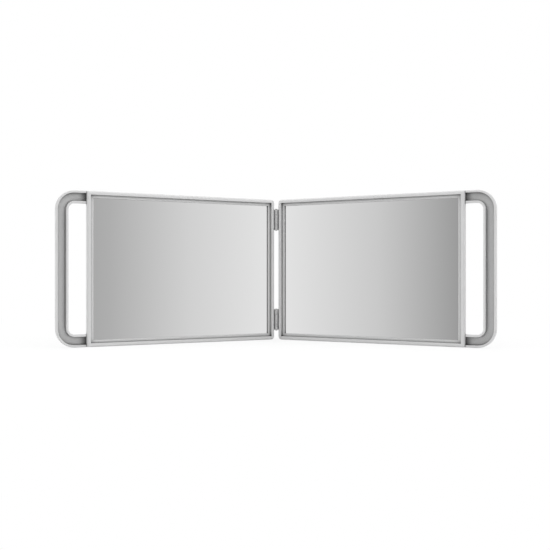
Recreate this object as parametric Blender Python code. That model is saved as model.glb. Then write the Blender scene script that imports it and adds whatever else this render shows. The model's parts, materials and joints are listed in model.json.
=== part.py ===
"""Folding two-panel barber mirror, standing open like a book, with a U-shaped handle at each outer end.

Each panel is drawn in its own coordinates. s runs from the hinge axis out to the handle, d runs from the
panel's front plane back through its thickness, and z runs up from the edges that the mirror stands on. An
inset is a distance in from the panel's outline. The left panel is the right one's mirror image. All sizes
are in metres.
"""

import math

import bmesh
import bpy
from mathutils import Matrix, Vector

# Overall sizes and the photographed pose
PANEL_WIDTH = 0.269
PANEL_HEIGHT = 0.200
ANGLE_BETWEEN_FACES = math.radians(124.0)

# Clearances
SEAT_GAP = 0.0003  # between fixed pieces that touch
SCREW_GAP = 0.00015  # round a screw's shank
PIN_GAP = 0.00007  # round the hinge pin
TURNING_GAP = 0.0004  # between a knuckle and what it turns past
MEETING_GAP = 0.0003  # left between the two panels at either end of the fold

# Front frame
RIM_WIDTH = 0.0048
RIM_STEP = 0.0037  # from the rim's front down to the ledge
LEDGE_WIDTH = 0.0040
LEDGE_THICKNESS = 0.0020
RIM_FILLET = 0.0025
SOFT_EDGE = 0.0003
SKIRT_DEPTH = 0.0060
HINGE_CORNER_RADIUS = 0.0045
OUTER_CORNER_RADIUS = 0.0022
LEAST_CORNER_RADIUS = 0.0004

# Mirror glass and the foam behind it
GLASS_THICKNESS = 0.0030
GLASS_OVERLAP = 0.0015  # hidden behind the ledge
GLASS_ARRIS = 0.0004
FOAM_THICKNESS = 0.0020

# Back shell
SHELL_INSET = 0.0015
SHELL_WALL = 0.0014
SHELL_FLOOR = 0.0022
SHELL_BACK_RADIUS = 0.0012
LAND_OVERLAP = 0.0015  # land behind the glass edge

# Handle, moulded in one with the back shell
FINGER_GAP = 0.0229
BAR_WIDTH = 0.0164
OUTER_LIP = 0.0029
INNER_LIP = 0.0030
LIP_SETBACK = 0.0030  # behind the panel's front plane
LIP_EDGE = 0.0012
CHANNEL_FLOOR = 0.0036
HANDLE_CORNER_RADIUS = 0.0245
GRIP_OUTER_RADIUS = 0.0055
GRIP_INNER_RADIUS = 0.0040

# Hinges
HINGE_HEIGHT = 0.0313
HINGE_MARGIN = 0.0129  # from the panel's top and bottom edges
KNUCKLE_RADIUS = 0.0021
KNUCKLE_SLIT = 0.0003
END_KNUCKLE_HEIGHT = 0.0072
LEAF_DEPTH = 0.0115
PIN_RADIUS = 0.00100
PIN_HEAD_RADIUS = 0.0017
PIN_HEAD_HEIGHT = 0.0008

# Screws
CASE_SCREW_RADIUS = 0.0010
CASE_HEAD_RADIUS = 0.00175
CASE_HEAD_HEIGHT = 0.0013
CASE_HEAD_FLAT = 0.8  # flat top of the pan head, as a share of its radius
CASE_HEAD_RECESS = 0.0020
CASE_HEAD_CLEARANCE = 0.00015
CASE_SCREW_BITE = 0.0044  # length held by the front frame
CASE_SCREW_MARGIN = 0.0220  # from the panel's corners to the end screws
LEAF_SCREW_RADIUS = 0.0009
LEAF_HEAD_RADIUS = 0.0018
LEAF_HEAD_HEIGHT = 0.0011
LEAF_HEAD_SUNK = 0.0002
LEAF_SCREW_SPACING = 0.0180
LEAF_SCREW_BITE = 0.0030
SCREW_TIP = 0.0008
DRIVE_WIDTH = 0.0005
DRIVE_LENGTH = 0.0019
DRIVE_DEPTH = 0.0006

# Smoothness of round shapes
CORNER_STEPS = 5
FILLET_STEPS = 4
GRIP_STEPS = 4
LIP_STEPS = 3
HANDLE_CORNER_STEPS = 10
ROUND_STEPS = 20
SCREW_STEPS = 12
SHARP_ANGLE = math.radians(31.0)  # edges that turn more than this stay sharp

# Depths through a panel, from the front plane
LEDGE_BACK = RIM_STEP + LEDGE_THICKNESS
GLASS_FRONT = LEDGE_BACK + SEAT_GAP
GLASS_BACK = GLASS_FRONT + GLASS_THICKNESS
LAND_FRONT = GLASS_BACK + SEAT_GAP
FOAM_FRONT = GLASS_BACK + SEAT_GAP
FLOOR_FRONT = FOAM_FRONT + FOAM_THICKNESS + SEAT_GAP
PANEL_BACK = FLOOR_FRONT + SHELL_FLOOR
SHELL_FRONT = SKIRT_DEPTH + SEAT_GAP
HANDLE_BACK = LAND_FRONT + CHANNEL_FLOOR

# Insets from a panel's outline
RAIL_WIDTH = RIM_WIDTH + LEDGE_WIDTH
GLASS_INSET = RAIL_WIDTH - GLASS_OVERLAP
POCKET_INSET = GLASS_INSET - SEAT_GAP
RIB_INSET = SHELL_INSET + SHELL_WALL + SEAT_GAP
LAND_INSET = GLASS_INSET + LAND_OVERLAP
FOAM_INSET = LAND_INSET + SEAT_GAP
CASE_SCREW_INSET = (RIB_INSET + POCKET_INSET) / 2

# Places along a panel
PANEL_START = KNUCKLE_RADIUS + TURNING_GAP
PANEL_END = PANEL_START + PANEL_WIDTH
HANDLE_END = PANEL_END + FINGER_GAP + BAR_WIDTH

# The hinge axis stands just ahead of the front planes, so that the closed faces don't press on each other.
AXIS_DEPTH = -MEETING_GAP / 2
LEAF_FACE = MEETING_GAP / 2
LEAF_SEAT = PANEL_START - SEAT_GAP
LEAF_FRONT = AXIS_DEPTH + KNUCKLE_RADIUS + TURNING_GAP
LEAF_SCREW_DEPTH = (SHELL_FRONT + GLASS_BACK) / 2
LEAF_SCREW_END = PANEL_START + RIB_INSET + LEAF_SCREW_BITE
HINGE_STARTS = {"lower": HINGE_MARGIN, "upper": PANEL_HEIGHT - HINGE_MARGIN - HINGE_HEIGHT}

REACH = 0.002  # how far a cutter runs past the face that it opens

ABS_GREY = (0.66, 0.66, 0.66)
HINGE_GREY = (0.36, 0.36, 0.36)
FOAM_WHITE = (0.80, 0.80, 0.78)
SILVER = (0.90, 0.91, 0.91)
STEEL = (0.55, 0.55, 0.56)


def clear_scene():
    for obj in list(bpy.data.objects):
        bpy.data.objects.remove(obj, do_unlink=True)


def new_material(name, colour, roughness, metallic):
    material = bpy.data.materials.new(name)
    material.use_nodes = True
    shader = material.node_tree.nodes["Principled BSDF"]
    shader.inputs["Base Color"].default_value = (*colour, 1.0)
    shader.inputs["Roughness"].default_value = roughness
    shader.inputs["Metallic"].default_value = metallic
    material.diffuse_color = (*colour, 1.0)
    return material


def moulded_abs(name):
    return new_material(name + "_abs", ABS_GREY, 0.45, 0.0)


def moulded_nylon(name):
    return new_material(name + "_nylon", HINGE_GREY, 0.50, 0.0)


def silvered_glass(name):
    return new_material(name + "_silvered_glass", SILVER, 0.02, 1.0)


def white_foam(name):
    return new_material(name + "_foam", FOAM_WHITE, 0.95, 0.0)


def plated_steel(name):
    return new_material(name + "_steel", STEEL, 0.30, 1.0)


def empty(name, parent, location=(0.0, 0.0, 0.0), turn=0.0):
    holder = bpy.data.objects.new(name, None)
    bpy.context.scene.collection.objects.link(holder)
    holder.parent = parent
    holder.location = location
    holder.rotation_euler = (0.0, 0.0, turn)
    return holder


def loft(bm, loops):
    """Adds the solid that runs through loops of equal length, capped at its first and last loop."""
    rings = [[bm.verts.new(point) for point in loop] for loop in loops]
    count = len(rings[0])
    for ring, following in zip(rings, rings[1:]):
        for i in range(count):
            j = (i + 1) % count
            bm.faces.new((ring[i], ring[j], following[j], following[i]))
    bm.faces.new(list(reversed(rings[0])))
    bm.faces.new(rings[-1])


def arc(centre, radius, start, turn, steps):
    """Points of an arc in a plane, both ends included. Angles are in radians."""
    return [
        (
            centre[0] + radius * math.cos(start + turn * i / steps),
            centre[1] + radius * math.sin(start + turn * i / steps),
        )
        for i in range(steps + 1)
    ]


def panel_outline(inset, depth):
    """The panel's outline, moved in by inset, as a loop of points at one depth."""
    low_s = PANEL_START + inset
    high_s = PANEL_END - inset
    low_z = inset
    high_z = PANEL_HEIGHT - inset
    hinge_radius = max(HINGE_CORNER_RADIUS - inset, LEAST_CORNER_RADIUS)
    outer_radius = max(OUTER_CORNER_RADIUS - inset, LEAST_CORNER_RADIUS)
    corners = (
        (low_s + hinge_radius, low_z + hinge_radius, hinge_radius, math.pi),
        (high_s - outer_radius, low_z + outer_radius, outer_radius, 1.5 * math.pi),
        (high_s - outer_radius, high_z - outer_radius, outer_radius, 0.0),
        (low_s + hinge_radius, high_z - hinge_radius, hinge_radius, 0.5 * math.pi),
    )
    flat = []
    for s, z, radius, start in corners:
        flat += arc((s, z), radius, start, 0.5 * math.pi, CORNER_STEPS)
    return [Vector((s, depth, z)) for s, z in flat]


def panel_rectangle(inset, depth):
    """As panel_outline, with sharp corners."""
    low_s = PANEL_START + inset
    high_s = PANEL_END - inset
    high_z = PANEL_HEIGHT - inset
    flat = ((low_s, inset), (high_s, inset), (high_s, high_z), (low_s, high_z))
    return [Vector((s, depth, z)) for s, z in flat]


def add_box(bm, low, high):
    flat = ((low[0], low[1]), (high[0], low[1]), (high[0], high[1]), (low[0], high[1]))
    loft(bm, [[Vector((s, d, z)) for s, d in flat] for z in (low[2], high[2])])


def add_turned(bm, profile, steps, place):
    """Adds a solid turned about its own z. The profile gives (radius, height) from one pole to the other."""
    first = bm.verts.new(place @ Vector((0.0, 0.0, profile[0][1])))
    last = bm.verts.new(place @ Vector((0.0, 0.0, profile[-1][1])))
    rings = []
    for radius, height in profile[1:-1]:
        points = arc((0.0, 0.0), radius, 0.0, 2 * math.pi * (steps - 1) / steps, steps - 1)
        rings.append([bm.verts.new(place @ Vector((x, y, height))) for x, y in points])
    for i in range(steps):
        j = (i + 1) % steps
        bm.faces.new((first, rings[0][j], rings[0][i]))
        bm.faces.new((last, rings[-1][i], rings[-1][j]))
        for ring, following in zip(rings, rings[1:]):
            bm.faces.new((ring[i], ring[j], following[j], following[i]))


def add_rod(bm, radius, low, high, place, steps):
    """Adds a plain round bar from height low to height high along place's z."""
    add_turned(bm, [(0.0, low), (radius, low), (radius, high), (0.0, high)], steps, place)


def backwards(s, d, z):
    """A place on a panel whose own z points to the panel's back."""
    return Matrix.Translation((s, d, z)) @ Matrix.Rotation(-0.5 * math.pi, 4, "X")


def hingewards(s, d, z):
    """A place on a panel whose own z points along the panel to the hinge axis."""
    return Matrix.Translation((s, d, z)) @ Matrix.Rotation(-0.5 * math.pi, 4, "Y")


def upright(s, d):
    return Matrix.Translation((s, d, 0.0))


def make_mesh(name, bm, side, smooth=True):
    """The mesh of a shape drawn for the right panel, mirrored for the left one."""
    if side < 0:
        bmesh.ops.transform(bm, matrix=Matrix.Scale(-1.0, 4, Vector((1.0, 0.0, 0.0))), verts=bm.verts)
    bmesh.ops.recalc_face_normals(bm, faces=bm.faces)
    mesh = bpy.data.meshes.new(name)
    bm.to_mesh(mesh)
    bm.free()
    if smooth:
        mesh.shade_smooth()
        mesh.set_sharp_from_angle(angle=SHARP_ANGLE)
    return mesh


def add_object(name, mesh, parent, material=None):
    obj = bpy.data.objects.new(name, mesh)
    bpy.context.scene.collection.objects.link(obj)
    obj.parent = parent
    if material:
        obj.data.materials.append(material)
    return obj


def combine(target, bm, side, operation, label):
    """Gives target a Boolean modifier whose operand is drawn in bm, and hides that operand."""
    name = f"{target.name}_{label}"
    helper = add_object(name, make_mesh(name, bm, side, smooth=operation == "UNION"), target.parent)
    helper.hide_render = True
    helper.display_type = "WIRE"
    modifier = target.modifiers.new(label, "BOOLEAN")
    modifier.operation = operation
    modifier.solver = "EXACT"
    modifier.object = helper


def case_screw_places():
    """The (s, z) of each screw that holds a back shell to its front frame."""
    low_s = PANEL_START + CASE_SCREW_MARGIN
    high_s = PANEL_END - CASE_SCREW_MARGIN
    middle_s = (low_s + high_s) / 2
    low_z = CASE_SCREW_INSET
    high_z = PANEL_HEIGHT - CASE_SCREW_INSET
    places = [(s, z) for z in (low_z, high_z) for s in (low_s, middle_s, high_s)]
    places += [(s, PANEL_HEIGHT / 2) for s in (PANEL_START + CASE_SCREW_INSET, PANEL_END - CASE_SCREW_INSET)]
    return places


def leaf_screw_heights(hinge_start):
    middle = hinge_start + HINGE_HEIGHT / 2
    return (middle - LEAF_SCREW_SPACING / 2, middle + LEAF_SCREW_SPACING / 2)


def all_leaf_screw_heights():
    return [z for start in HINGE_STARTS.values() for z in leaf_screw_heights(start)]


def front_frame(name, panel, side):
    """The bezel: a filleted rim, a step down to the ledge that frames the glass, and a rib behind it."""
    bm = bmesh.new()
    fillet = arc((RIM_FILLET, RIM_FILLET), RIM_FILLET, math.pi, 0.5 * math.pi, FILLET_STEPS)
    section = [(RIB_INSET, GLASS_BACK), (RIB_INSET, SKIRT_DEPTH), (0.0, SKIRT_DEPTH)] + fillet
    loft(bm, [panel_outline(inset, depth) for inset, depth in section])
    frame = add_object(name, make_mesh(name, bm, side), panel, moulded_abs(name))

    bm = bmesh.new()
    opening = (
        (RIM_WIDTH - SOFT_EDGE, -REACH),
        (RIM_WIDTH - SOFT_EDGE, 0.0),
        (RIM_WIDTH, SOFT_EDGE),
        (RIM_WIDTH, RIM_STEP),
        (RAIL_WIDTH - SOFT_EDGE, RIM_STEP),
        (RAIL_WIDTH, RIM_STEP + SOFT_EDGE),
        (RAIL_WIDTH, LEDGE_BACK),
        (POCKET_INSET, LEDGE_BACK),
        (POCKET_INSET, GLASS_BACK + REACH),
    )
    loft(bm, [panel_rectangle(inset, depth) for inset, depth in opening])
    combine(frame, bm, side, "DIFFERENCE", "opening")

    bm = bmesh.new()
    hole = CASE_SCREW_RADIUS + SCREW_GAP
    for s, z in case_screw_places():
        add_rod(bm, hole, -CASE_SCREW_BITE - SCREW_GAP, REACH, backwards(s, GLASS_BACK, z), SCREW_STEPS)
    hole = LEAF_SCREW_RADIUS + SCREW_GAP
    for z in all_leaf_screw_heights():
        place = hingewards(PANEL_START + RIB_INSET, LEAF_SCREW_DEPTH, z)
        add_rod(bm, hole, -LEAF_SCREW_BITE - SCREW_GAP, SEAT_GAP, place, SCREW_STEPS)
    combine(frame, bm, side, "DIFFERENCE", "screw_holes")


def handle_section():
    """The bar's section, as (distance in from the handle's outer edge, depth)."""
    back = HANDLE_BACK
    outer_grip = arc(
        (GRIP_OUTER_RADIUS, back - GRIP_OUTER_RADIUS), GRIP_OUTER_RADIUS, math.pi, -0.5 * math.pi, GRIP_STEPS
    )
    inner_grip = arc(
        (BAR_WIDTH - GRIP_INNER_RADIUS, back - GRIP_INNER_RADIUS),
        GRIP_INNER_RADIUS,
        0.5 * math.pi,
        -0.5 * math.pi,
        GRIP_STEPS,
    )
    channel_start = OUTER_LIP
    channel_end = BAR_WIDTH - INNER_LIP
    channel = [
        (channel_end + SOFT_EDGE, LIP_SETBACK),
        (channel_end, LIP_SETBACK + SOFT_EDGE),
        (channel_end, LAND_FRONT),
        (channel_start, LAND_FRONT),
        (channel_start, LIP_SETBACK + SOFT_EDGE),
        (channel_start - SOFT_EDGE, LIP_SETBACK),
    ]
    rounding = LIP_SETBACK + LIP_EDGE
    inner_edge = arc((BAR_WIDTH - LIP_EDGE, rounding), LIP_EDGE, 0.0, -0.5 * math.pi, LIP_STEPS)
    outer_edge = arc((LIP_EDGE, rounding), LIP_EDGE, -0.5 * math.pi, -0.5 * math.pi, LIP_STEPS)
    return outer_grip + inner_grip + inner_edge + channel + outer_edge


def handle_stations(start):
    """Places along the handle from the top bar's root round to the bottom bar's, as (s, z, outward angle)."""
    centre_s = HANDLE_END - HANDLE_CORNER_RADIUS
    centres = ((0.5 * math.pi, PANEL_HEIGHT - HANDLE_CORNER_RADIUS), (0.0, HANDLE_CORNER_RADIUS))
    stations = [(start, PANEL_HEIGHT - HANDLE_CORNER_RADIUS, 0.5 * math.pi)]
    for first_angle, centre_z in centres:
        for i in range(HANDLE_CORNER_STEPS + 1):
            stations.append((centre_s, centre_z, first_angle - 0.5 * math.pi * i / HANDLE_CORNER_STEPS))
    stations.append((start, HANDLE_CORNER_RADIUS, -0.5 * math.pi))
    return stations


def add_handle(bm, start):
    """Adds the U-shaped channel. Its corners turn about centres HANDLE_CORNER_RADIUS in from its outline."""
    loops = []
    for s, z, angle in handle_stations(start):
        outward = Vector((math.cos(angle), 0.0, math.sin(angle)))
        centre = Vector((s, 0.0, z))
        loops.append(
            [
                centre + outward * (HANDLE_CORNER_RADIUS - inwards) + Vector((0.0, depth, 0.0))
                for inwards, depth in handle_section()
            ]
        )
    loft(bm, loops)


def back_shell(name, panel, side):
    """The tray behind the glass, with its handle, whose channel runs on under the front frame's edge."""
    bm = bmesh.new()
    edge = arc(
        (SHELL_INSET + SHELL_BACK_RADIUS, PANEL_BACK - SHELL_BACK_RADIUS),
        SHELL_BACK_RADIUS,
        math.pi,
        -0.5 * math.pi,
        FILLET_STEPS,
    )
    loft(bm, [panel_outline(inset, depth) for inset, depth in [(SHELL_INSET, SHELL_FRONT)] + edge])
    shell = add_object(name, make_mesh(name, bm, side), panel, moulded_abs(name))

    bm = bmesh.new()
    add_handle(bm, PANEL_END - SHELL_INSET - SHELL_WALL / 2)
    combine(shell, bm, side, "UNION", "handle")

    bm = bmesh.new()
    for start in HINGE_STARTS.values():
        low = (PANEL_START, SHELL_FRONT + SOFT_EDGE, start)
        high = (PANEL_START + SHELL_INSET + SHELL_WALL / 2, LEAF_DEPTH, start + HINGE_HEIGHT)
        add_box(bm, low, high)
    combine(shell, bm, side, "UNION", "hinge_pads")

    bm = bmesh.new()
    add_box(
        bm,
        (PANEL_START - REACH, LIP_SETBACK - REACH, -REACH),
        (PANEL_END + SEAT_GAP, SHELL_FRONT, PANEL_HEIGHT + REACH),
    )
    combine(shell, bm, side, "DIFFERENCE", "room_for_frame")

    bm = bmesh.new()
    tray = (
        (RIB_INSET - SEAT_GAP, SHELL_FRONT - REACH),
        (RIB_INSET - SEAT_GAP, LAND_FRONT),
        (LAND_INSET, LAND_FRONT),
        (LAND_INSET, FLOOR_FRONT),
    )
    loft(bm, [panel_rectangle(inset, depth) for inset, depth in tray])
    combine(shell, bm, side, "DIFFERENCE", "tray")

    bm = bmesh.new()
    channel_width = BAR_WIDTH - OUTER_LIP - INNER_LIP
    for low_z in (OUTER_LIP, PANEL_HEIGHT - OUTER_LIP - channel_width):
        low = (PANEL_END - RIB_INSET, SHELL_FRONT - REACH, low_z)
        add_box(bm, low, (PANEL_END + SEAT_GAP + REACH, LAND_FRONT, low_z + channel_width))
    combine(shell, bm, side, "DIFFERENCE", "channel_mouths")

    bm = bmesh.new()
    for s, z in case_screw_places():
        place = backwards(s, PANEL_BACK, z)
        floor = -CASE_HEAD_RECESS
        bore = CASE_SCREW_RADIUS + 2 * SCREW_GAP
        wide = CASE_HEAD_RADIUS + CASE_HEAD_CLEARANCE
        bottom = LAND_FRONT - PANEL_BACK - REACH / 2
        profile = [(0.0, bottom), (bore, bottom), (bore, floor), (wide, floor), (wide, REACH), (0.0, REACH)]
        add_turned(bm, profile, SCREW_STEPS, place)
    for z in all_leaf_screw_heights():
        place = hingewards(PANEL_START, LEAF_SCREW_DEPTH, z)
        bore = LEAF_SCREW_RADIUS + 2 * SCREW_GAP
        add_rod(bm, bore, -RIB_INSET, REACH, place, SCREW_STEPS)
    combine(shell, bm, side, "DIFFERENCE", "screw_holes")


def mirror_glass(name, panel, side):
    """A plate whose edges, hidden behind the ledge, are ground to a small arris."""
    bm = bmesh.new()
    section = (
        (GLASS_INSET + GLASS_ARRIS, GLASS_FRONT),
        (GLASS_INSET, GLASS_FRONT + GLASS_ARRIS),
        (GLASS_INSET, GLASS_BACK - GLASS_ARRIS),
        (GLASS_INSET + GLASS_ARRIS, GLASS_BACK),
    )
    loft(bm, [panel_rectangle(inset, depth) for inset, depth in section])
    add_object(name, make_mesh(name, bm, side, smooth=False), panel, silvered_glass(name))


def foam_pad(name, panel, side):
    bm = bmesh.new()
    depths = (FOAM_FRONT, FOAM_FRONT + FOAM_THICKNESS)
    loft(bm, [panel_rectangle(FOAM_INSET, depth) for depth in depths])
    add_object(name, make_mesh(name, bm, side, smooth=False), panel, white_foam(name))


def knuckle_spans(hinge_start, side):
    """The heights of the knuckles on one leaf: two at the ends on the left leaf, one between on the right."""
    end = hinge_start + HINGE_HEIGHT
    low = hinge_start + PIN_HEAD_HEIGHT + SEAT_GAP
    high = end - PIN_HEAD_HEIGHT - SEAT_GAP
    if side < 0:
        return ((low, low + END_KNUCKLE_HEIGHT), (high - END_KNUCKLE_HEIGHT, high))
    return ((low + END_KNUCKLE_HEIGHT + KNUCKLE_SLIT, high - END_KNUCKLE_HEIGHT - KNUCKLE_SLIT),)


def knuckle_outline():
    """A knuckle round the axis with the web that runs back from it into the leaf, as (s, d)."""
    web_side = LEAF_FACE + SOFT_EDGE / 2
    closing = math.acos(web_side / KNUCKLE_RADIUS)
    barrel = arc((0.0, AXIS_DEPTH), KNUCKLE_RADIUS, closing, 2 * math.pi - closing, ROUND_STEPS)
    web_end = (LEAF_FRONT + LEAF_DEPTH) / 2
    web = [(KNUCKLE_RADIUS, AXIS_DEPTH), (KNUCKLE_RADIUS - SOFT_EDGE / 2, web_end), (web_side, web_end)]
    return barrel[:-1] + web


def hinge_leaf(name, panel, side, hinge_start):
    """A moulded leaf that lies against the panel's edge. A hinge's two leaves meet when the mirror is flat."""
    low = hinge_start + PIN_HEAD_HEIGHT + SEAT_GAP
    high = hinge_start + HINGE_HEIGHT - PIN_HEAD_HEIGHT - SEAT_GAP
    bm = bmesh.new()
    add_box(bm, (LEAF_FACE, LEAF_FRONT, low), (LEAF_SEAT, LEAF_DEPTH, high))
    leaf = add_object(name, make_mesh(name, bm, side), panel, moulded_nylon(name))

    bm = bmesh.new()
    for span in knuckle_spans(hinge_start, side):
        loft(bm, [[Vector((s, d, z)) for s, d in knuckle_outline()] for z in span])
    combine(leaf, bm, side, "UNION", "knuckles")

    bm = bmesh.new()
    add_rod(bm, PIN_RADIUS + PIN_GAP, low - REACH, high + REACH, upright(0.0, AXIS_DEPTH), ROUND_STEPS)
    combine(leaf, bm, side, "DIFFERENCE", "bore")

    bm = bmesh.new()
    for z in leaf_screw_heights(hinge_start):
        place = hingewards(LEAF_FACE, LEAF_SCREW_DEPTH, z)
        bore = LEAF_SCREW_RADIUS + 2 * SCREW_GAP
        wide = LEAF_HEAD_RADIUS + 2 * SCREW_GAP
        cone_end = -LEAF_HEAD_SUNK - LEAF_HEAD_HEIGHT
        end = LEAF_FACE - LEAF_SEAT - REACH / 2
        shank_hole = [(0.0, end), (bore, end), (bore, cone_end)]
        head_seat = [(wide, -LEAF_HEAD_SUNK), (wide, REACH), (0.0, REACH)]
        add_turned(bm, shank_hole + head_seat, SCREW_STEPS, place)
    combine(leaf, bm, side, "DIFFERENCE", "screw_holes")


def hinge_pin(name, panel, side, hinge_start):
    """A steel pin held by its two button heads."""
    low = hinge_start
    high = hinge_start + HINGE_HEIGHT
    shoulder = PIN_HEAD_HEIGHT
    rim = PIN_HEAD_RADIUS - SOFT_EDGE
    profile = [
        (0.0, low),
        (rim, low),
        (PIN_HEAD_RADIUS, low + SOFT_EDGE),
        (PIN_HEAD_RADIUS, low + shoulder),
        (PIN_RADIUS, low + shoulder),
        (PIN_RADIUS, high - shoulder),
        (PIN_HEAD_RADIUS, high - shoulder),
        (PIN_HEAD_RADIUS, high - SOFT_EDGE),
        (rim, high),
        (0.0, high),
    ]
    bm = bmesh.new()
    add_turned(bm, profile, ROUND_STEPS, upright(0.0, AXIS_DEPTH))
    add_object(name, make_mesh(name, bm, side), panel, plated_steel(name))


def screw_mesh(name, profile, head_top):
    """A screw whose head's top lies at height head_top, with a cross recess cut in it."""
    bm = bmesh.new()
    add_turned(bm, profile, SCREW_STEPS, Matrix.Identity(4))
    blank = add_object(name + "_blank", make_mesh(name + "_blank", bm, 1), None)
    bm = bmesh.new()
    half_width = DRIVE_WIDTH / 2
    half_length = DRIVE_LENGTH / 2
    cross = []
    for quarter in range(4):
        turn = Matrix.Rotation(0.5 * math.pi * quarter, 2)
        for x, y in ((half_width, half_width), (half_width, half_length), (-half_width, half_length)):
            cross.append(turn @ Vector((x, y)))
    heights = (head_top - DRIVE_DEPTH, head_top + REACH)
    loft(bm, [[Vector((x, y, z)) for x, y in cross] for z in heights])
    combine(blank, bm, 1, "DIFFERENCE", "recess")
    bpy.context.view_layer.update()
    graph = bpy.context.evaluated_depsgraph_get()
    mesh = bpy.data.meshes.new_from_object(blank.evaluated_get(graph))
    mesh.name = name
    bpy.data.objects.remove(bpy.data.objects[blank.name + "_recess"], do_unlink=True)
    bpy.data.objects.remove(blank, do_unlink=True)
    return mesh


def case_screw_mesh():
    """A pan head screw. Its own origin is under the head, on the shell's seat."""
    length = PANEL_BACK - CASE_HEAD_RECESS + SEAT_GAP - (GLASS_BACK - CASE_SCREW_BITE)
    top = CASE_HEAD_HEIGHT
    profile = [
        (0.0, -length),
        (CASE_SCREW_RADIUS / 2, -length),
        (CASE_SCREW_RADIUS, SCREW_TIP - length),
        (CASE_SCREW_RADIUS, 0.0),
        (CASE_HEAD_RADIUS, 0.0),
        (CASE_HEAD_RADIUS, top / 2),
        (CASE_HEAD_FLAT * CASE_HEAD_RADIUS, top),
        (0.0, top),
    ]
    return screw_mesh("case_screw", profile, top)


def leaf_screw_mesh():
    """A countersunk screw. Its own origin is at the middle of its flat head."""
    length = LEAF_SCREW_END - LEAF_FACE - LEAF_HEAD_SUNK - SEAT_GAP / 2
    profile = [
        (0.0, -length),
        (LEAF_SCREW_RADIUS / 2, -length),
        (LEAF_SCREW_RADIUS, SCREW_TIP - length),
        (LEAF_SCREW_RADIUS, -LEAF_HEAD_HEIGHT),
        (LEAF_HEAD_RADIUS, -SOFT_EDGE / 2),
        (LEAF_HEAD_RADIUS, 0.0),
        (0.0, 0.0),
    ]
    return screw_mesh("leaf_screw", profile, 0.0)


def add_screw(name, mesh, panel, place, side):
    """Adds a screw at a place drawn for the right panel. On the left one the place is mirrored."""
    mirror = Matrix.Scale(-1.0, 4, Vector((1.0, 0.0, 0.0)))
    own = mesh.copy()
    screw = add_object(name, own, panel, plated_steel(name))
    screw.matrix_local = mirror @ place @ mirror if side < 0 else place


def add_case_screws(label, mesh, panel, side):
    depth = PANEL_BACK - CASE_HEAD_RECESS + SEAT_GAP
    for number, (s, z) in enumerate(case_screw_places(), start=1):
        add_screw(f"{label}_case_screw_{number}", mesh, panel, backwards(s, depth, z), side)


def add_hinges(label, mesh, panel, side):
    for level, start in HINGE_STARTS.items():
        hinge_leaf(f"{level}_hinge_{label}_leaf", panel, side, start)
        for number, z in enumerate(leaf_screw_heights(start), start=1):
            place = hingewards(LEAF_FACE + LEAF_HEAD_SUNK + SEAT_GAP / 2, LEAF_SCREW_DEPTH, z)
            add_screw(f"{level}_hinge_{label}_screw_{number}", mesh, panel, place, side)


def build_panel(label, side, mirror_root, case_mesh, leaf_mesh):
    """One panel, turned about the hinge axis to the photographed angle."""
    turn = side * (0.5 * ANGLE_BETWEEN_FACES - 0.5 * math.pi)
    panel = empty(f"{label}_panel_at_hinge_axis", mirror_root, turn=turn)
    drawing = empty(f"{label}_panel_drawing", panel, location=(0.0, -AXIS_DEPTH, 0.0))
    front_frame(f"{label}_front_frame", drawing, side)
    mirror_glass(f"{label}_mirror_glass", drawing, side)
    foam_pad(f"{label}_foam_pad", drawing, side)
    back_shell(f"{label}_back_shell_with_handle", drawing, side)
    add_case_screws(label, case_mesh, drawing, side)
    add_hinges(label, leaf_mesh, drawing, side)
    if side < 0:
        for level, start in HINGE_STARTS.items():
            hinge_pin(f"{level}_hinge_pin", drawing, side, start)


def centre_on_origin(mirror_root):
    """Moves the mirror along y so that the middle of its box stands over the origin."""
    bpy.context.view_layer.update()
    graph = bpy.context.evaluated_depsgraph_get()
    depths = []
    for obj in bpy.context.scene.objects:
        if obj.type == "MESH" and not obj.hide_render:
            evaluated = obj.evaluated_get(graph)
            depths += [(evaluated.matrix_world @ vertex.co).y for vertex in evaluated.data.vertices]
    mirror_root.location.y -= (min(depths) + max(depths)) / 2


def main():
    clear_scene()
    mirror_root = empty("folding_mirror", None)
    case_mesh = case_screw_mesh()
    leaf_mesh = leaf_screw_mesh()
    build_panel("left", -1, mirror_root, case_mesh, leaf_mesh)
    build_panel("right", 1, mirror_root, case_mesh, leaf_mesh)
    centre_on_origin(mirror_root)


main()
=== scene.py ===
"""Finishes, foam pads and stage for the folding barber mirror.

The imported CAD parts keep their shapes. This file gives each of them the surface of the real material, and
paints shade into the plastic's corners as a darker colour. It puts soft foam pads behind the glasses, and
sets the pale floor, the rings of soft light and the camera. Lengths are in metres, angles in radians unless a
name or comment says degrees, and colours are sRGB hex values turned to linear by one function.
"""

import json
import math

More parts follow.
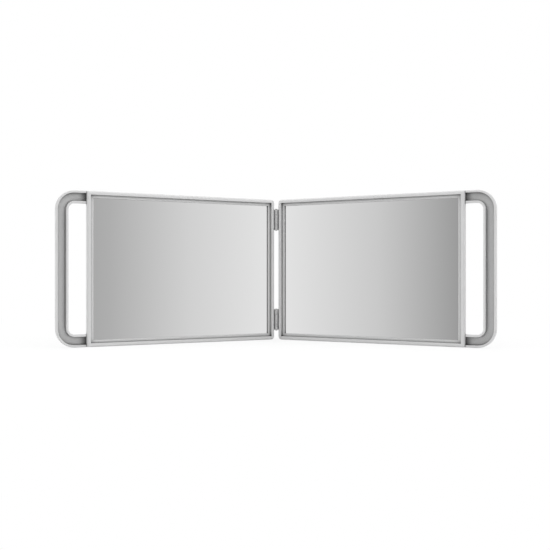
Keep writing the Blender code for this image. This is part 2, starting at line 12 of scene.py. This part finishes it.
import bmesh
import bpy
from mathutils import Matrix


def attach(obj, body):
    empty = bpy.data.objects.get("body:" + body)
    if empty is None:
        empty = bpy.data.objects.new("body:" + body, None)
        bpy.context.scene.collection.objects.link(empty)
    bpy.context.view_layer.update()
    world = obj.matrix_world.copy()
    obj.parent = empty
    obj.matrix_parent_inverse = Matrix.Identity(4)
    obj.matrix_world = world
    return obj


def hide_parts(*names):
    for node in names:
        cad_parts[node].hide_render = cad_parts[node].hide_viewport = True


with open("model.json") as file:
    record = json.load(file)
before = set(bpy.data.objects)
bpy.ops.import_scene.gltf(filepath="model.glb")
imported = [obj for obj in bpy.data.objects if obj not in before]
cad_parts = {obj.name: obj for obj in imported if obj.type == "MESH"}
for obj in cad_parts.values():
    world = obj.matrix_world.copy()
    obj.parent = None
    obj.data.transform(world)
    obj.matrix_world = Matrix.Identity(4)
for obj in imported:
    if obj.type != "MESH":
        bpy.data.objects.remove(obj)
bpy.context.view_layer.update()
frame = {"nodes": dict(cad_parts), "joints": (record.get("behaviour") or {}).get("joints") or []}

bl_info = {
    "name": "Folding Barber Mirror",
    "version": (1, 0, 0),
    "blender": (4, 5, 0),
    "location": "3D View > Sidebar > Barber Mirror",
    "description": "Finishes and stage for a folding salon mirror with a handle at each end",
    "category": "Object",
}

MILLIMETRE = 0.001
NODES = frame["nodes"]
PANELS = ("left", "right")
HINGE_AXIS_Y = frame["joints"][0]["pos_m"][1]
WHITE = (1.0, 1.0, 1.0, 1.0)

# The sizes of what the eye sees in each surface.
FLOW_PATCH = 45 * MILLIMETRE  # where the melt flowed, faintly lighter or darker and glossier or duller
FIBRE_STREAK = 6 * MILLIMETRE  # glass fibre and flow in the nylon, a faint mottle
GRAIN_DEPTH = 0.02 * MILLIMETRE  # of the texture that the mould leaves
GLASS_HAZE = 30 * MILLIMETRE  # patches that mirror a little less sharply
GLASS_DRAW = 90 * MILLIMETRE  # waves that the float line leaves
GLASS_DRAW_DEPTH = 0.01 * MILLIMETRE
ZINC_BLOOM = 0.8 * MILLIMETRE  # crystal patches of the plate
FOAM_CELL = 0.9 * MILLIMETRE  # cells that the cut opens
FOAM_CELL_DEPTH = 0.15 * MILLIMETRE

# Painted shade: the share of open space over a spot at which the painted shade is darkest, the share at which
# there is none, and how much of the plastic's colour is left in a wide hollow and right in the corner of a
# step.
DARKEST_SHADE_OPEN_SHARE = 0.30
NO_SHADE_OPEN_SHARE = 0.84
LEFT_IN_SHADED_HOLLOW = 0.22
LEFT_IN_SHADED_CORNER = 0.38

# Foam pads: points closer than this are one point, faces that meet at less than this are one face, and each
# soft edge is rounded in this many steps.
WELD_DISTANCE = 0.01 * MILLIMETRE
FLAT_ANGLE = math.radians(1.0)
PAD_EDGE_STEPS = 3

# Heights, as the upward part of a direction of length 1, between which one light goes over to the next.
LOW_TO_HIGH = (0.15, 0.45)
HIGH_TO_OVERHEAD = (0.75, 0.95)
LIGHT_TO_PAPER = (0.12, 0.30)  # the same, downwards

# The paper goes over to white between these distances from the middle, and near the mirror this share of it
# is white already.
PAPER_START = 0.20
PAPER_END = 0.75
NEAR_WHITE_SHARE = 0.80
FLOOR_SIDES = 64

# The ring of light round the stage, as (direction in degrees, level). 0 is the camera's side, 90 is the right
# and 180 is behind the mirror. The darker camera side is what the two glasses show as their grey gradient.
RING_OF_LIGHT = (
    (-180.0, 0.808),
    (-140.0, 1.145),
    (-118.0, 1.297),
    (-100.0, 1.306),
    (-88.0, 1.252),
    (-75.0, 1.195),
    (-65.0, 0.969),
    (-56.0, 0.846),
    (-49.0, 0.639),
    (-43.0, 0.336),
    (-25.0, 0.200),
    (0.0, 0.200),
    (25.0, 0.200),
    (43.0, 0.445),
    (49.0, 0.693),
    (56.0, 0.872),
    (65.0, 1.410),
    (75.0, 1.651),
    (88.0, 1.375),
    (100.0, 0.999),
    (118.0, 0.692),
    (140.0, 0.597),
    (180.0, 0.808),
)

# The same higher up, where the light comes down at about 17 to 58 degrees.
HIGH_RING = (
    (-180.0, 0.400),
    (-125.0, 0.400),
    (-100.0, 0.895),
    (-85.0, 1.568),
    (-70.0, 1.829),
    (-55.0, 1.394),
    (-30.0, 0.767),
    (0.0, 0.449),
    (30.0, 0.951),
    (55.0, 1.672),
    (70.0, 2.000),
    (85.0, 1.928),
    (100.0, 1.129),
    (125.0, 0.400),
    (180.0, 0.400),
)


def linear(hex_colour):
    """The linear RGB of an sRGB hex colour such as #D4D4D3."""
    channels = [int(hex_colour[i : i + 2], 16) / 255 for i in (1, 3, 5)]
    return tuple(c / 12.92 if c <= 0.04045 else ((c + 0.055) / 1.055) ** 2.4 for c in channels)


class MouldedPlasticSettings(bpy.types.PropertyGroup):
    """Sizes and colours of the moulded plastic parts."""

    abs_colour: bpy.props.FloatVectorProperty(
        name="ABS colour",
        description="Light grey of the frames, shells and handles",
        subtype="COLOR",
        min=0.0,
        max=1.0,
        default=linear("#D6D6D6"),
    )
    nylon_colour: bpy.props.FloatVectorProperty(
        name="Nylon colour",
        description="Mid grey of the hinge leaves",
        subtype="COLOR",
        min=0.0,
        max=1.0,
        default=linear("#C0C0C0"),
    )
    grain_size: bpy.props.FloatProperty(
        name="Mould grain",
        description="Spacing of the fine texture that the mould leaves on the plastic",
        unit="LENGTH",
        min=0.0002,
        max=0.005,
        precision=5,
        default=0.7 * MILLIMETRE,
    )
    edge_radius: bpy.props.FloatProperty(
        name="Edge radius",
        description="Rounding that the mould gives to every edge, as the light shows it",
        unit="LENGTH",
        min=0.0,
        max=0.002,
        precision=5,
        default=0.5 * MILLIMETRE,
    )
    # Painted shade: how far out of a corner or hollow the plastic's colour is darkened.
    painted_shade_reach: bpy.props.FloatProperty(
        name="Dust reach",
        description="How far out of a corner the settled dust can still be seen",
        unit="LENGTH",
        min=0.001,
        max=0.03,
        precision=5,
        default=9.0 * MILLIMETRE,
    )
    # Painted shade: reach of the finer darkening right in the corner of a step.
    painted_shade_line: bpy.props.FloatProperty(
        name="Dust line",
        description="Reach of the finer dust that a cloth leaves right in the corner of a step",
        unit="LENGTH",
        min=0.0005,
        max=0.01,
        precision=5,
        default=2.5 * MILLIMETRE,
    )


class MirrorGlassSettings(bpy.types.PropertyGroup):
    """Colours and sizes of the silvered glass and the foam behind it."""

    silver_colour: bpy.props.FloatVectorProperty(
        name="Silver colour",
        description="What the silvered glass sends back of white light",
        subtype="COLOR",
        min=0.0,
        max=1.0,
        default=linear("#F4F4F4"),
    )
    foam_colour: bpy.props.FloatVectorProperty(
        name="Foam colour",
        description="White of the pads that press the glass forward",
        subtype="COLOR",
        min=0.0,
        max=1.0,
        default=linear("#E9E8E2"),
    )
    pad_edge: bpy.props.FloatProperty(
        name="Pad edge",
        description="Radius of the foam pads' soft edges",
        unit="LENGTH",
        min=0.0001,
        max=0.0009,
        precision=5,
        default=0.6 * MILLIMETRE,
    )


class SteelSettings(bpy.types.PropertyGroup):
    """Colour of the plated pins and screws."""

    zinc_colour: bpy.props.FloatVectorProperty(
        name="Zinc colour",
        description="Pale grey of zinc-plated steel",
        subtype="COLOR",
        min=0.0,
        max=1.0,
        default=linear("#CACBCB"),
    )


class StageSettings(bpy.types.PropertyGroup):
    """Sizes and levels of the floor, the light and the camera."""

    floor_radius: bpy.props.FloatProperty(
        name="Floor radius",
        description="Radius of the round pale floor",
        unit="LENGTH",
        min=1.0,
        max=20.0,
        default=6.0,
    )
    floor_colour: bpy.props.FloatVectorProperty(
        name="Floor colour",
        description="Pale paper of the floor",
        subtype="COLOR",
        min=0.0,
        max=1.0,
        default=linear("#EFEFEF"),
    )
    light_strength: bpy.props.FloatProperty(
        name="Light strength",
        description="Strength of the light from all round, as a share of its fitted level",
        min=0.0,
        max=4.0,
        default=1.0,
    )
    overhead_level: bpy.props.FloatProperty(
        name="Overhead level",
        description="Level of the light from straight above",
        min=0.0,
        max=8.0,
        default=2.00,
    )
    paper_level: bpy.props.FloatProperty(
        name="Paper level",
        description="Brightness of the paper floor in a reflection that looks well down",
        min=0.0,
        max=2.0,
        default=0.85,
    )
    camera_distance: bpy.props.FloatProperty(
        name="Camera distance",
        description="Distance from the hinge axis to the camera",
        unit="LENGTH",
        min=0.3,
        max=5.0,
        precision=4,
        default=1.1314,
    )
    camera_height: bpy.props.FloatProperty(
        name="Camera height",
        description="Height of the camera above the floor",
        unit="LENGTH",
        min=0.0,
        max=2.0,
        precision=4,
        default=0.0915,
    )
    camera_side: bpy.props.FloatProperty(
        name="Camera side",
        description="How far the camera stands to the right of the hinge axis",
        unit="LENGTH",
        min=-1.0,
        max=1.0,
        precision=4,
        default=0.0101,
    )
    camera_turn: bpy.props.FloatProperty(
        name="Camera turn",
        description="Turn of the camera to the left of straight ahead",
        subtype="ANGLE",
        min=-1.0,
        max=1.0,
        precision=4,
        default=0.01055,
    )
    camera_tilt: bpy.props.FloatProperty(
        name="Camera tilt",
        description="Tilt of the camera above the horizontal",
        subtype="ANGLE",
        min=-1.0,
        max=1.0,
        precision=5,
        default=0.00074,
    )
    lens: bpy.props.FloatProperty(
        name="Lens",
        description="Focal length of the camera",
        subtype="DISTANCE_CAMERA",
        min=20.0,
        max=200.0,
        default=51.67,
    )


def add_node(tree, kind, settings=None, **links):
    """Adds a node with its settings. Each link names an input, or gives its number as i0 or i6, with a socket
    to join or a value to set."""
    node = tree.nodes.new(kind)
    for name, value in (settings or {}).items():
        setattr(node, name, value)
    for name, value in links.items():
        numbered = name[0] == "i" and name[1:].isdigit()
        socket = node.inputs[int(name[1:]) if numbered else name.replace("_", " ")]
        if isinstance(value, bpy.types.NodeSocket):
            tree.links.new(value, socket)
        else:
            socket.default_value = value
    return node


def new_surface(name, colour, roughness, metallic=0.0, ior=None):
    """An empty material with its Principled shader, whose plain numbers are on the shader's own sockets."""
    material = bpy.data.materials.new(name)
    material.use_nodes = True
    material.diffuse_color = (*colour, 1.0)
    tree = material.node_tree
    shader = tree.nodes["Principled BSDF"]
    shader.inputs["Base Color"].default_value = (*colour, 1.0)
    shader.inputs["Roughness"].default_value = roughness
    shader.inputs["Metallic"].default_value = metallic
    if ior is not None:
        shader.inputs["IOR"].default_value = ior
    return material, tree, shader


def shade_of(colour, level):
    """A colour made darker or lighter by a factor, with its alpha."""
    return (*(min(1.0, c * level) for c in colour), 1.0)


def mottled(tree, colour, place, patch, detail, darker, lighter):
    """Patches of one size over which a colour drifts from a darker to a lighter shade of itself. Gives the
    patches, which may also set the gloss, and the drifting colour."""
    noise = add_node(tree, "ShaderNodeTexNoise", Vector=place, Scale=1.0 / patch, Detail=detail)
    shades = {"i6": shade_of(colour, darker), "i7": shade_of(colour, lighter)}
    tint = add_node(tree, "ShaderNodeMix", {"data_type": "RGBA"}, i0=noise.outputs["Fac"], **shades)
    return noise.outputs["Fac"], tint.outputs[2]


def painted_corner_shade(tree, unshaded_colour, reach, darkest):
    """Paints shade into a plastic's colour: greys it where little open space lies over a spot, in the
    channel, along the steps and where the piece meets its neighbours."""
    open_space = add_node(tree, "ShaderNodeAmbientOcclusion", {"samples": 8}, Distance=reach)
    kept = add_node(
        tree,
        "ShaderNodeMapRange",
        Value=open_space.outputs["AO"],
        From_Min=DARKEST_SHADE_OPEN_SHARE,
        From_Max=NO_SHADE_OPEN_SHARE,
        To_Min=darkest,
        To_Max=1.0,
    )
    multiply = {"data_type": "RGBA", "blend_type": "MULTIPLY"}
    return add_node(tree, "ShaderNodeMix", multiply, i0=1.0, i6=unshaded_colour, i7=kept.outputs["Result"]).outputs[2]


def moulded_skin(tree, shader, place, settings, detail, strength):
    """The grain and the small rounding of every edge that a mould leaves. Real grain is about 0.2 mm, drawn
    coarser so that a close view shows it."""
    grain = add_node(tree, "ShaderNodeTexNoise", Vector=place, Scale=1.0 / settings.grain_size, Detail=detail)
    edge = add_node(tree, "ShaderNodeBevel", {"samples": 4}, Radius=settings.edge_radius)
    bump = add_node(
        tree,
        "ShaderNodeBump",
        Strength=strength,
        Distance=GRAIN_DEPTH,
        Height=grain.outputs["Fac"],
        Normal=edge.outputs["Normal"],
    )
    tree.links.new(bump.outputs["Normal"], shader.inputs["Normal"])


def moulded_abs(settings):
    """Injection-moulded ABS. The spark-eroded mould leaves a fine grain that spreads the highlights, the
    slower flow of the melt leaves faintly glossier patches, and every edge has a small radius that catches
    light."""
    colour = tuple(settings.abs_colour)
    material, tree, shader = new_surface("injection_moulded_abs", colour, roughness=0.38, ior=1.54)
    place = add_node(tree, "ShaderNodeTexCoord").outputs["Object"]
    flow, tint = mottled(tree, colour, place, FLOW_PATCH, detail=2.0, darker=0.985, lighter=1.015)
    # Painted shade: the colour darkens where a spot has little open space over it, widely in hollows and more
    # finely in the corners of the steps.
    shaded_hollows = painted_corner_shade(tree, tint, settings.painted_shade_reach, LEFT_IN_SHADED_HOLLOW)
    shaded_colour = painted_corner_shade(tree, shaded_hollows, settings.painted_shade_line, LEFT_IN_SHADED_CORNER)
    tree.links.new(shaded_colour, shader.inputs["Base Color"])
    gloss = add_node(tree, "ShaderNodeMapRange", Value=flow, To_Min=0.34, To_Max=0.42)
    tree.links.new(gloss.outputs["Result"], shader.inputs["Roughness"])
    moulded_skin(tree, shader, place, settings, detail=3.0, strength=0.25)
    return material


def moulded_nylon(settings):
    """Injection-moulded nylon for hinges that flex and rub: darker than the ABS and waxier, with a dull
    sheen, and glass fibre and flow show as a faint mottle."""
    colour = tuple(settings.nylon_colour)
    material, tree, shader = new_surface("injection_moulded_nylon", colour, roughness=0.48, ior=1.53)
    place = add_node(tree, "ShaderNodeTexCoord").outputs["Object"]
    _, tint = mottled(tree, colour, place, FIBRE_STREAK, detail=4.0, darker=0.96, lighter=1.04)
    tree.links.new(tint, shader.inputs["Base Color"])
    moulded_skin(tree, shader, place, settings, detail=2.0, strength=0.35)
    return material


def silvered_float_glass(settings):
    """Float glass silvered on its back. It mirrors sharply, and only the faint draw of the float line keeps
    straight reflections from being dead straight."""
    colour = tuple(settings.silver_colour)
    material, tree, shader = new_surface("silvered_float_glass", colour, roughness=0.0, metallic=1.0)
    place = add_node(tree, "ShaderNodeTexCoord").outputs["Object"]
    haze = add_node(tree, "ShaderNodeTexNoise", Vector=place, Scale=1.0 / GLASS_HAZE, Detail=2.0)
    rough = add_node(tree, "ShaderNodeMapRange", Value=haze.outputs["Fac"], To_Min=0.008, To_Max=0.022)
    tree.links.new(rough.outputs["Result"], shader.inputs["Roughness"])
    draw = add_node(tree, "ShaderNodeTexNoise", Vector=place, Scale=1.0 / GLASS_DRAW, Detail=0.0)
    waves = {"Strength": 0.3, "Distance": GLASS_DRAW_DEPTH, "Height": draw.outputs["Fac"]}
    bump = add_node(tree, "ShaderNodeBump", **waves)
    tree.links.new(bump.outputs["Normal"], shader.inputs["Normal"])
    return material


def zinc_plated_steel(settings):
    """Cold-headed steel with bright zinc plate: a satin grey metal with a fine crystal bloom, whose patches
    are duller or a little darker."""
    colour = tuple(settings.zinc_colour)
    material, tree, shader = new_surface("zinc_plated_steel", colour, roughness=0.32, metallic=1.0)
    place = add_node(tree, "ShaderNodeTexCoord").outputs["Object"]
    bloom, tint = mottled(tree, colour, place, ZINC_BLOOM, detail=4.0, darker=0.88, lighter=1.05)
    tree.links.new(tint, shader.inputs["Base Color"])
    dull = add_node(tree, "ShaderNodeMapRange", Value=bloom, To_Min=0.24, To_Max=0.42)
    tree.links.new(dull.outputs["Result"], shader.inputs["Roughness"])
    return material


def closed_cell_foam(settings):
    """Closed-cell polyethylene foam cut from sheet: matt and white, with cut cells that show as fine pits."""
    colour = tuple(settings.foam_colour)
    material, tree, shader = new_surface("closed_cell_foam", colour, roughness=0.92, ior=1.45)
    place = add_node(tree, "ShaderNodeTexCoord").outputs["Object"]
    cells = add_node(tree, "ShaderNodeTexVoronoi", Vector=place, Scale=1.0 / FOAM_CELL).outputs["Distance"]
    shades = {"i6": shade_of(colour, 0.90), "i7": shade_of(colour, 1.04)}
    tint = add_node(tree, "ShaderNodeMix", {"data_type": "RGBA"}, i0=cells, **shades)
    tree.links.new(tint.outputs[2], shader.inputs["Base Color"])
    bump = add_node(tree, "ShaderNodeBump", Strength=0.5, Distance=FOAM_CELL_DEPTH, Height=cells)
    tree.links.new(bump.outputs["Normal"], shader.inputs["Normal"])
    return material


def finish_nodes(names, material):
    """Puts one finish on every named CAD part."""
    for name in names:
        slots = NODES[name].data.materials
        slots.clear()
        slots.append(material)


def ring_level(tree, ring, share):
    """Reads a ring of light at a share of the way round it. The ramp holds shares of the highest level."""
    highest = max(level for _, level in ring)
    ramp = add_node(tree, "ShaderNodeValToRGB", Fac=share)
    stops = ramp.color_ramp.elements
    stops.remove(stops[-1])
    for number, (degrees, level) in enumerate(ring):
        place = degrees / 360.0 + 0.5
        stop = stops.new(place) if number else stops[0]
        stop.position = place
        stop.color = (*(3 * (level / highest,)), 1.0)
    times = {"operation": "MULTIPLY"}
    return add_node(tree, "ShaderNodeMath", times, i0=ramp.outputs["Color"], i1=highest).outputs[0]


def goes_over(tree, height, between, below, above):
    """Light that goes over from one level to another as a direction climbs between two heights."""
    smooth = {"interpolation_type": "SMOOTHSTEP"}
    climb = add_node(
        tree, "ShaderNodeMapRange", smooth, Value=height, From_Min=between[0], From_Max=between[1]
    )
    return add_node(tree, "ShaderNodeMix", i0=climb.outputs["Result"], i2=below, i3=above).outputs[0]


def ray_kinds(tree):
    """1 for a ray straight from the camera, and 1 for a ray that a glossy or clear surface has sent on."""
    rays = add_node(tree, "ShaderNodeLightPath").outputs
    larger = {"operation": "MAXIMUM"}
    sent_on = add_node(
        tree, "ShaderNodeMath", larger, i0=rays["Is Glossy Ray"], i1=rays["Is Transmission Ray"]
    )
    return rays["Is Camera Ray"], sent_on.outputs[0]


def light_from_all_round(settings):
    """The world: white behind the mirror for the camera, and soft light graded by direction for the rest."""
    world = bpy.data.worlds.new("light_from_all_round")
    world.use_nodes = True
    tree = world.node_tree
    tree.nodes.clear()
    direction = add_node(tree, "ShaderNodeTexCoord").outputs["Generated"]
    x, y, z = add_node(tree, "ShaderNodeSeparateXYZ", Vector=direction).outputs
    times = {"operation": "MULTIPLY"}
    forwards = add_node(tree, "ShaderNodeMath", times, i0=y, i1=-1.0)
    angle = add_node(tree, "ShaderNodeMath", {"operation": "ARCTAN2"}, i0=x, i1=forwards.outputs[0])
    turn = add_node(
        tree, "ShaderNodeMapRange", Value=angle.outputs[0], From_Min=-math.pi, From_Max=math.pi
    ).outputs["Result"]
    low, high = (ring_level(tree, ring, turn) for ring in (RING_OF_LIGHT, HIGH_RING))
    level = goes_over(tree, z, LOW_TO_HIGH, low, high)
    level = goes_over(tree, z, HIGH_TO_OVERHEAD, level, settings.overhead_level)

    # A reflection that looks well down sees pale paper. The floor lets it through to here.
    down = add_node(tree, "ShaderNodeMath", times, i0=z, i1=-1.0).outputs[0]
    level = goes_over(tree, down, LIGHT_TO_PAPER, level, settings.paper_level)

    # The floor casts no shadow, so nothing but a reflection may see light from below it.
    from_camera, sent_on = ray_kinds(tree)
    above = add_node(tree, "ShaderNodeMath", {"operation": "GREATER_THAN"}, i0=z, i1=0.0).outputs[0]
    seen = add_node(tree, "ShaderNodeMath", {"operation": "MAXIMUM"}, i0=above, i1=sent_on).outputs[0]
    strength = add_node(tree, "ShaderNodeMath", times, i0=seen, i1=settings.light_strength).outputs[0]
    soft = add_node(tree, "ShaderNodeBackground", Color=level, Strength=strength)
    white = add_node(tree, "ShaderNodeBackground", Color=WHITE, Strength=1.0)
    both = add_node(tree, "ShaderNodeMixShader", i0=from_camera, i1=soft.outputs[0], i2=white.outputs[0])
    add_node(tree, "ShaderNodeOutputWorld", Surface=both.outputs[0])
    return world


def pale_paper(settings):
    """Matt paper that goes over to pure white away from the mirror. It keeps the mirror's soft shadow close
    by, and lets reflected rays through to the world, so that the glasses show the rings to their feet."""
    material = bpy.data.materials.new("pale_paper")
    material.use_nodes = True
    tree = material.node_tree
    tree.nodes.clear()
    place = add_node(tree, "ShaderNodeNewGeometry").outputs["Position"]
    distance = add_node(tree, "ShaderNodeVectorMath", {"operation": "LENGTH"}, i0=place)
    whiter = add_node(
        tree,
        "ShaderNodeMapRange",
        {"interpolation_type": "SMOOTHSTEP"},
        Value=distance.outputs["Value"],
        From_Min=PAPER_START,
        From_Max=PAPER_END,
        To_Min=NEAR_WHITE_SHARE,
        To_Max=1.0,
    )
    from_camera, sent_on = ray_kinds(tree)
    times = {"operation": "MULTIPLY"}
    white_share = add_node(tree, "ShaderNodeMath", times, i0=whiter.outputs["Result"], i1=from_camera)
    matt = add_node(tree, "ShaderNodeBsdfDiffuse", Color=(*settings.floor_colour, 1.0))
    white = add_node(tree, "ShaderNodeEmission", Color=WHITE, Strength=1.0)
    shares = {"i0": white_share.outputs[0], "i1": matt.outputs[0], "i2": white.outputs[0]}
    paper = add_node(tree, "ShaderNodeMixShader", **shares)
    through = add_node(tree, "ShaderNodeBsdfTransparent")
    surface = add_node(tree, "ShaderNodeMixShader", i0=sent_on, i1=paper.outputs[0], i2=through.outputs[0])
    add_node(tree, "ShaderNodeOutputMaterial", Surface=surface.outputs[0])
    return material


class BARBERMIRROR_OT_frames_and_shells(bpy.types.Operator):
    """Finish the front frames and the back shells with their handles in light-grey ABS"""

    bl_idname = "barber_mirror.frames_and_shells"
    bl_label = "Frames and Shells"

    def execute(self, context):
        names = [f"{side}_{part}" for side in PANELS for part in ("front_frame", "back_shell_with_handle")]
        finish_nodes(names, moulded_abs(context.scene.barber_mirror_plastic))
        return {"FINISHED"}


class BARBERMIRROR_OT_glasses(bpy.types.Operator):
    """Silver the two mirror glasses"""

    bl_idname = "barber_mirror.glasses"
    bl_label = "Mirror Glasses"

    def execute(self, context):
        names = [f"{side}_mirror_glass" for side in PANELS]
        finish_nodes(names, silvered_float_glass(context.scene.barber_mirror_glass))
        return {"FINISHED"}


class BARBERMIRROR_OT_foam_pads(bpy.types.Operator):
    """Make the soft-edged foam pads that press the glasses forward"""

    bl_idname = "barber_mirror.foam_pads"
    bl_label = "Foam Pads"

    def execute(self, context):
        settings = context.scene.barber_mirror_glass
        foam = closed_cell_foam(settings)
        for side in PANELS:
            plain = NODES[f"{side}_foam_pad"]
            bm = bmesh.new()
            bm.from_mesh(plain.data)
            bmesh.ops.remove_doubles(bm, verts=bm.verts, dist=WELD_DISTANCE)
            bmesh.ops.dissolve_limit(bm, angle_limit=FLAT_ANGLE, verts=bm.verts, edges=bm.edges)
            bmesh.ops.bevel(
                bm,
                geom=list(bm.edges),
                offset=settings.pad_edge,
                segments=PAD_EDGE_STEPS,
                profile=0.5,
                affect="EDGES",
            )
            mesh = bpy.data.meshes.new(f"{side}_soft_foam_pad")
            bm.to_mesh(mesh)
            bm.free()
            mesh.shade_smooth()
            mesh.materials.append(foam)
            pad = bpy.data.objects.new(f"{side}_soft_foam_pad", mesh)
            context.scene.collection.objects.link(pad)
            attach(pad, f"{side}_panel")
            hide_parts(plain.name)
        return {"FINISHED"}


class BARBERMIRROR_OT_hinge_leaves(bpy.types.Operator):
    """Finish the four hinge leaves in grey nylon"""

    bl_idname = "barber_mirror.hinge_leaves"
    bl_label = "Hinge Leaves"

    def execute(self, context):
        names = [name for name in NODES if name.endswith("_leaf")]
        finish_nodes(names, moulded_nylon(context.scene.barber_mirror_plastic))
        return {"FINISHED"}


class BARBERMIRROR_OT_pins_and_screws(bpy.types.Operator):
    """Finish the hinge pins and all the screws in zinc-plated steel"""

    bl_idname = "barber_mirror.pins_and_screws"
    bl_label = "Pins and Screws"

    def execute(self, context):
        names = [name for name in NODES if name.endswith("_pin") or "_screw_" in name]
        finish_nodes(names, zinc_plated_steel(context.scene.barber_mirror_steel))
        return {"FINISHED"}


class BARBERMIRROR_OT_stage(bpy.types.Operator):
    """Set the pale floor, the rings of soft light and the camera"""

    bl_idname = "barber_mirror.stage"
    bl_label = "Stage"

    def execute(self, context):
        settings = context.scene.barber_mirror_stage
        scene = context.scene
        scene.world = light_from_all_round(settings)

        bm = bmesh.new()
        bmesh.ops.create_circle(bm, cap_ends=True, segments=FLOOR_SIDES, radius=settings.floor_radius)
        mesh = bpy.data.meshes.new("floor")
        bm.to_mesh(mesh)
        bm.free()
        mesh.materials.append(pale_paper(settings))
        floor = bpy.data.objects.new("floor", mesh)
        scene.collection.objects.link(floor)

        # The floor takes the mirror's shadow and casts none, so it doesn't darken the painted shade in the
        # corners.
        floor.visible_shadow = False

        camera = bpy.data.cameras.new("camera")
        camera.lens = settings.lens
        holder = bpy.data.objects.new("camera", camera)
        scene.collection.objects.link(holder)
        holder.location = (
            settings.camera_side,
            HINGE_AXIS_Y - settings.camera_distance,
            settings.camera_height,
        )
        holder.rotation_euler = (math.radians(90.0) + settings.camera_tilt, 0.0, settings.camera_turn)
        scene.camera = holder
        scene.view_settings.view_transform = "Standard"
        return {"FINISHED"}


PIECE_OPERATORS = (
    BARBERMIRROR_OT_frames_and_shells,
    BARBERMIRROR_OT_glasses,
    BARBERMIRROR_OT_foam_pads,
    BARBERMIRROR_OT_hinge_leaves,
    BARBERMIRROR_OT_pins_and_screws,
    BARBERMIRROR_OT_stage,
)


class BARBERMIRROR_PT_panel(bpy.types.Panel):
    """Lists the mirror's pieces and the stage, with their sizes and colours"""

    bl_idname = "BARBERMIRROR_PT_panel"
    bl_label = "Folding Barber Mirror"
    bl_space_type = "VIEW_3D"
    bl_region_type = "UI"
    bl_category = "Barber Mirror"

    def draw(self, context):
        for operator in PIECE_OPERATORS:
            self.layout.operator(operator.bl_idname)
        for name, group in SETTINGS.items():
            box = self.layout.box()
            for prop in group.__annotations__:
                box.prop(getattr(context.scene, name), prop)


SETTINGS = {
    "barber_mirror_plastic": MouldedPlasticSettings,
    "barber_mirror_glass": MirrorGlassSettings,
    "barber_mirror_steel": SteelSettings,
    "barber_mirror_stage": StageSettings,
}
CLASSES = (*SETTINGS.values(), *PIECE_OPERATORS, BARBERMIRROR_PT_panel)


def register():
    for cls in CLASSES:
        bpy.utils.register_class(cls)
    for name, group in SETTINGS.items():
        setattr(bpy.types.Scene, name, bpy.props.PointerProperty(type=group))


def unregister():
    for name in SETTINGS:
        delattr(bpy.types.Scene, name)
    for cls in reversed(CLASSES):
        bpy.utils.unregister_class(cls)


def main():
    register()
    bpy.ops.barber_mirror.frames_and_shells()
    bpy.ops.barber_mirror.glasses()
    bpy.ops.barber_mirror.foam_pads()
    bpy.ops.barber_mirror.hinge_leaves()
    bpy.ops.barber_mirror.pins_and_screws()
    bpy.ops.barber_mirror.stage()


if __name__ == "__main__":
    main()
